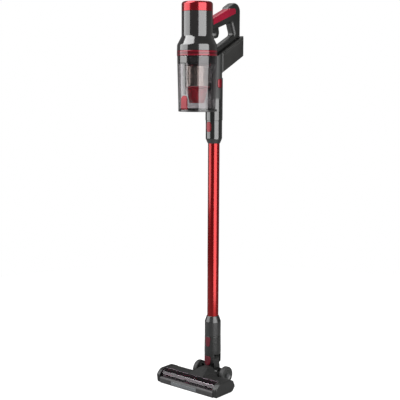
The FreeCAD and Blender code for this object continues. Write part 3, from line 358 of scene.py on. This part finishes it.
FINISHES = {
    "housing_black": finish(moulded, colour=(0.0075, 0.0072, 0.0068), roughness=0.14, grain=0.02, coat=1.0),
    "duct_black": finish(half_glossy, colour=(0.006, 0.0065, 0.006), roughness=0.16, node="inlet_duct"),
    "handle_black": finish(moulded, colour=(0.007, 0.0072, 0.0068), roughness=0.32, grain=0.2),
    # the battery's strongly lightened edges are a painted highlight along its bevels
    "battery_black": finish(moulded, colour=(0.010, 0.010, 0.0092), roughness=0.45, grain=0.5,
                            edge=0.0014, wear=6.0),
    "neck_black": finish(moulded, colour=(0.006, 0.0064, 0.006), roughness=0.27, grain=0.15, coat=0.3),
    "head_black": finish(moulded, colour=(0.008, 0.0082, 0.008), roughness=0.36, grain=0.3),
    "satin_black": finish(moulded, colour=(0.007, 0.007, 0.007), roughness=0.34, grain=0.2, coat=0.6),
    # the latch rail's lighter grey is a painted highlight on dark gloss plastic
    "rail_grey": finish(moulded, colour=(0.022, 0.021, 0.020), roughness=0.12, coat=1.0),
    "inner_black": finish(moulded, colour=(0.016, 0.016, 0.018), roughness=0.5, grain=0.4),
    "bumper_black": finish(rubber, colour=(0.024, 0.023, 0.024), roughness=0.55),
    "cap_red": finish(moulded, colour=(0.25, 0.003, 0.009), roughness=0.2, coat=0.6, metallic=0.85,
                      spread=0.1),
    "ring_red": finish(ring_with_painted_rim_highlights, colour=(0.15, 0.0015, 0.010), roughness=0.15, node="red_ring"),
    "inlay_red": finish(moulded, colour=(0.24, 0.004, 0.022), roughness=0.34, grain=0.1, metallic=0.4),
    "button_red": finish(moulded, colour=(0.15, 0.002, 0.008), roughness=0.24, grain=0.1, coat=0.1,
                         metallic=0.45),
    "trim_red": finish(moulded, colour=(0.075, 0.002, 0.008), roughness=0.36, grain=0.1),
    "cone_red": finish(moulded, colour=(0.52, 0.006, 0.025), roughness=0.2, coat=0.4),
    "wand_red": finish(anodised, colour=(0.24, 0.0022, 0.0028), roughness=0.19),
    "bin_clear": finish(clear, tint=(0.50, 0.48, 0.49), roughness=0.015),
    "window_smoke": finish(clear, tint=(0.36, 0.27, 0.33), roughness=0.02, ripple=0.000002, ior=1.42),
    "lens_grey": finish(frosted_lens, colour=(0.16, 0.17, 0.18)),
    "shroud_mesh": finish(perforated_steel, colour=(0.42, 0.36, 0.32)),
    "motor_metal": finish(brushed, colour=(0.5, 0.5, 0.52), roughness=0.3),
    "steel": finish(brushed, colour=(0.16, 0.16, 0.165), roughness=0.45),
    "cell_wrap": finish(moulded, colour=(0.02, 0.12, 0.3), roughness=0.3, grain=0.05),
    "seal_rubber": finish(rubber, colour=(0.02, 0.02, 0.02), roughness=0.75),
    "wheel_tyre": finish(rubber, colour=(0.014, 0.014, 0.014), roughness=0.6),
    "wheel_grey": finish(moulded, colour=(0.030, 0.031, 0.030), roughness=0.35, grain=0.3),
    "filter_paper": finish(fibre, colour=(0.62, 0.6, 0.55), tip=(0.75, 0.73, 0.7)),
    "brush_core": finish(moulded, colour=(0.03, 0.010, 0.02), roughness=0.4, grain=0.3),
    "bristle_red": finish(fibre, colour=(0.30, 0.015, 0.09), tip=(0.60, 0.07, 0.22)),
}

OWN_FINISH = {"latch_rail": "rail_grey"}     # nodes painted lighter than the rest of their slot, as a painted highlight


def make_materials():
    """Every finish, by name."""
    return {name: builder(name, **settings) for name, (builder, settings) in FINISHES.items()}


def dress_nodes(materials):
    """Gives every carried-over node the material of its record slot."""
    for entry in frame["record"]["subparts"]:
        mesh = nodes[entry["node"]].data
        mesh.materials.clear()
        mesh.materials.append(materials[OWN_FINISH.get(entry["node"], entry["material_slot"])])


# ---- brush bristles -----------------------------------------------------------------------------
BRISTLE_ROWS = 4
TUFT_PITCH = 0.0023             # metres from one tuft to the next along a row
TUFT_FIBRES = 6
ROW_TWIST = 936.0               # degrees of twist for each metre from the middle of the brush
FIBRE_RADIUS = 0.00032
FIBRE_SIDES = 3
FIBRE_TAPER = (1.0, 0.85, 0.5)  # thickness at a fibre's root, bend and tip
ROOT_DEPTH = 0.0004             # how deep the roots sit in the core
TIP_ROOM = 0.0002               # what the tips leave free of the space that the CAD bristles hold
END_ROOM = 0.001                # the same at the two ends of the brush
ROOT_SCATTER = 0.0006           # how far a tuft's roots scatter along the brush
TIP_SCATTER = 0.0009            # how much further its tips scatter
BEND_SHARE = 0.4                # the bend's share of that
LEAN = 0.045                    # most that a fibre leans round the brush, in radians
BEND_LEAN, TIP_LEAN = 1.3, 2.0  # how the lean grows from root to bend and to tip
WORN_LENGTH = 0.0007            # most that a tip is worn down


def fibre_blade(shape, points):
    """One bristle: a thin bent spike through its root, bend and tip."""
    along = (points[-1] - points[0]).normalized()
    across = along.cross(Vector((1, 0, 0))).normalized()
    other = along.cross(across)
    rings = []
    for centre, taper in zip(points, FIBRE_TAPER):
        ring = []
        for i in range(FIBRE_SIDES):
            turn = 2 * math.pi * i / FIBRE_SIDES
            offset = across * math.cos(turn) + other * math.sin(turn)
            ring.append(shape.verts.new(centre + offset * FIBRE_RADIUS * taper))
        rings.append(ring)
    for lower, upper in zip(rings, rings[1:]):
        for i in range(FIBRE_SIDES):
            j = (i + 1) % FIBRE_SIDES
            shape.faces.new((lower[i], lower[j], upper[j], upper[i]))
    shape.faces.new(rings[0][::-1])
    shape.faces.new(rings[-1])


def make_bristles(material):
    """Rows of nylon tufts that wind round the brush and meet in a V at its middle."""
    core_low, core_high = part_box("brush_roll")
    low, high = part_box("brush_bristles")
    centre_y, centre_z = (core_low[1] + core_high[1]) / 2, (core_low[2] + core_high[2]) / 2
    inner = (core_high[2] - core_low[2]) / 2 - ROOT_DEPTH
    outer = min(high[1] - low[1], high[2] - low[2]) / 2 - TIP_ROOM
    middle, reach = (low[0] + high[0]) / 2, (high[0] - low[0]) / 2 - END_ROOM

    def on_brush(x, angle, radius):
        """The point at that angle from the top, turning forward, and that radius."""
        return Vector((x, centre_y - radius * math.sin(angle), centre_z + radius * math.cos(angle)))

    def random_fibre(x, angle):
        """Root, bend and tip of one fibre of the tuft at x."""
        start = x + random.uniform(-ROOT_SCATTER, ROOT_SCATTER)
        lean = random.uniform(-LEAN, LEAN)
        splay = random.uniform(-TIP_SCATTER, TIP_SCATTER)
        length = outer - random.uniform(0.0, WORN_LENGTH)
        root = on_brush(start, angle + lean, inner)
        bend = on_brush(start + splay * BEND_SHARE, angle + lean * BEND_LEAN, (inner + outer) / 2)
        tip = on_brush(start + splay, angle + lean * TIP_LEAN, length)
        return root, bend, tip

    shape = bmesh.new()
    for row in range(BRISTLE_ROWS):
        for i in range(int(2 * reach / TUFT_PITCH) + 1):
            x = middle - reach + i * TUFT_PITCH
            angle = math.radians(360 / BRISTLE_ROWS * row + ROW_TWIST * abs(x - middle))
            for _ in range(TUFT_FIBRES):
                fibre_blade(shape, random_fibre(x, angle))
    tufts = place_mesh("bristle_tufts", shape, material)
    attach(tufts, "brush")
    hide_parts("brush_bristles")


def place_mesh(name, shape, material):
    """Puts the finished shape in the scene as an object."""
    mesh = bpy.data.meshes.new(name)
    shape.to_mesh(mesh)
    shape.free()
    mesh.materials.append(material)
    placed = bpy.data.objects.new(name, mesh)
    bpy.context.collection.objects.link(placed)
    return placed


# ---- camera, light and floor --------------------------------------------------------------------
# Angles are in degrees and lengths in metres, except the lens, which is in millimetres.
CAMERA_AZIMUTH = 39.18          # round from the front, towards the right
CAMERA_DISTANCE = 2.556         # from the wand's axis, on the level
CAMERA_HEIGHT = 0.8826
CAMERA_PITCH, CAMERA_PAN, CAMERA_ROLL = 7.445, 0.892, 0.224
CAMERA_LENS = 78.74
SENSOR_WIDTH = 36.0
FAR_CLIP = 50.0

# Softboxes: azimuth from the camera's, elevation, distance, width, height, brightness, and the
# height on the wand's axis that they face.
SOFTBOXES = {
    "left_strip": (-81, 0, 1.8, 1.85, 1.62, 3.4, 1.09),
    "left_high": (-70, 46, 2.1, 1.9, 1.75, 6.5, 0.98),
    "right_strip": (37, 0, 0.95, 1.05, 1.8, 4.7, 0.9),
    "overhead": (180, 70, 2.6, 1.6, 1.6, 2.0, 0.3),
}

ROOM_LIGHT, ROOM_SEEN = 0.17, 1.0         # the white room: as light on surfaces, and in view
FLOOR_LIGHT, FLOOR_SEEN = 0.02, 0.93      # the floor's own glow, in the same two ways
FLOOR_RADIUS = 1.7
FLOOR_SEGMENTS = 96


def around(azimuth, distance, height):
    """A point at that compass angle from the wand; 0 is in front and 90 is to the right."""
    low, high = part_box("wand_tube")
    turn = math.radians(azimuth)
    return Vector((0, (low[1] + high[1]) / 2, 0)) + Vector(
        (distance * math.sin(turn), -distance * math.cos(turn), height)
    )


def make_camera():
    """Camera between the front and the right side, looking slightly down."""
    data = bpy.data.cameras.new("camera")
    data.lens = CAMERA_LENS
    data.sensor_width = SENSOR_WIDTH
    data.clip_end = FAR_CLIP
    camera = bpy.data.objects.new("camera", data)
    bpy.context.collection.objects.link(camera)
    yaw = math.radians(CAMERA_AZIMUTH + CAMERA_PAN)
    pitch = math.radians(90 - CAMERA_PITCH)
    roll = math.radians(CAMERA_ROLL)
    turn = Matrix.Rotation(yaw, 4, "Z") @ Matrix.Rotation(pitch, 4, "X") @ Matrix.Rotation(roll, 4, "Z")
    place = around(CAMERA_AZIMUTH, CAMERA_DISTANCE, CAMERA_HEIGHT)
    camera.matrix_world = Matrix.Translation(place) @ turn
    bpy.context.scene.camera = camera


def softbox(name, azimuth, elevation, distance, wide, tall, glow, target_height):
    """Rectangular light that faces a point on the wand's axis; glow is its brightness."""
    data = bpy.data.lights.new(name, "AREA")
    data.shape = "RECTANGLE"
    data.size = wide
    data.size_y = tall
    data.energy = glow * math.pi * wide * tall
    light = bpy.data.objects.new(name, data)
    bpy.context.collection.objects.link(light)
    lift = math.radians(elevation)
    target = around(0, 0, target_height)
    height = target_height + distance * math.sin(lift)
    light.location = around(CAMERA_AZIMUTH + azimuth, distance * math.cos(lift), height)
    light.rotation_mode = "QUATERNION"
    light.rotation_quaternion = (target - light.location).to_track_quat("-Z", "Y")


def make_lights():
    """The four softboxes."""
    for name, settings in SOFTBOXES.items():
        softbox(name, *settings)


def seen_directly(tree):
    """1 for what is in view, also through clear parts, and 0 for what only lights a surface."""
    path = tree.nodes.new("ShaderNodeLightPath")
    bounces = math_node(tree, "ADD", path.outputs["Glossy Depth"], path.outputs["Diffuse Depth"])
    straight = math_node(tree, "LESS_THAN", bounces, 0.5)
    through = math_node(tree, "MULTIPLY", path.outputs["Is Transmission Ray"], straight)
    return math_node(tree, "MAXIMUM", path.outputs["Is Camera Ray"], through)


def make_world():
    """White behind the object and through its clear parts, and dimmer as light on its surfaces."""
    world = bpy.data.worlds.new("studio")
    world.use_nodes = True
    tree = world.node_tree
    background = tree.nodes["Background"]
    background.inputs[0].default_value = (1.0, 1.0, 1.0, 1.0)
    strength = ranged(tree, seen_directly(tree), ROOM_LIGHT, ROOM_SEEN, 0.0, 1.0)
    tree.links.new(strength, background.inputs[1])
    bpy.context.scene.world = world


def floor_material():
    """Matt floor that looks pale in view, and throws little light up at the object."""
    material, tree, shader = new_material("floor_white")
    drift = ranged(tree, noise(tree, coordinates(tree), 3.0), 0, 1)
    base = colour_mix(tree, drift, (0.21, 0.21, 0.21), (0.24, 0.24, 0.24))
    tree.links.new(base, shader.inputs["Base Color"])
    shader.inputs["Roughness"].default_value = 0.8
    shader.inputs["Emission Color"].default_value = (1.0, 1.0, 1.0, 1.0)
    glow = ranged(tree, seen_directly(tree), FLOOR_LIGHT, FLOOR_SEEN, 0.0, 1.0)
    tree.links.new(glow, shader.inputs["Emission Strength"])
    return material


def make_floor():
    """Plain pale disc of floor."""
    shape = bmesh.new()
    bmesh.ops.create_circle(shape, cap_ends=True, radius=FLOOR_RADIUS, segments=FLOOR_SEGMENTS)
    place_mesh("floor", shape, floor_material())


def main():
    """Dresses the CAD nodes, adds the bristles and sets the scene."""
    random.seed(7)
    bpy.context.scene.view_settings.view_transform = "Standard"
    materials = make_materials()
    dress_nodes(materials)
    make_bristles(materials["bristle_red"])
    make_camera()
    make_lights()
    make_world()
    make_floor()


main()
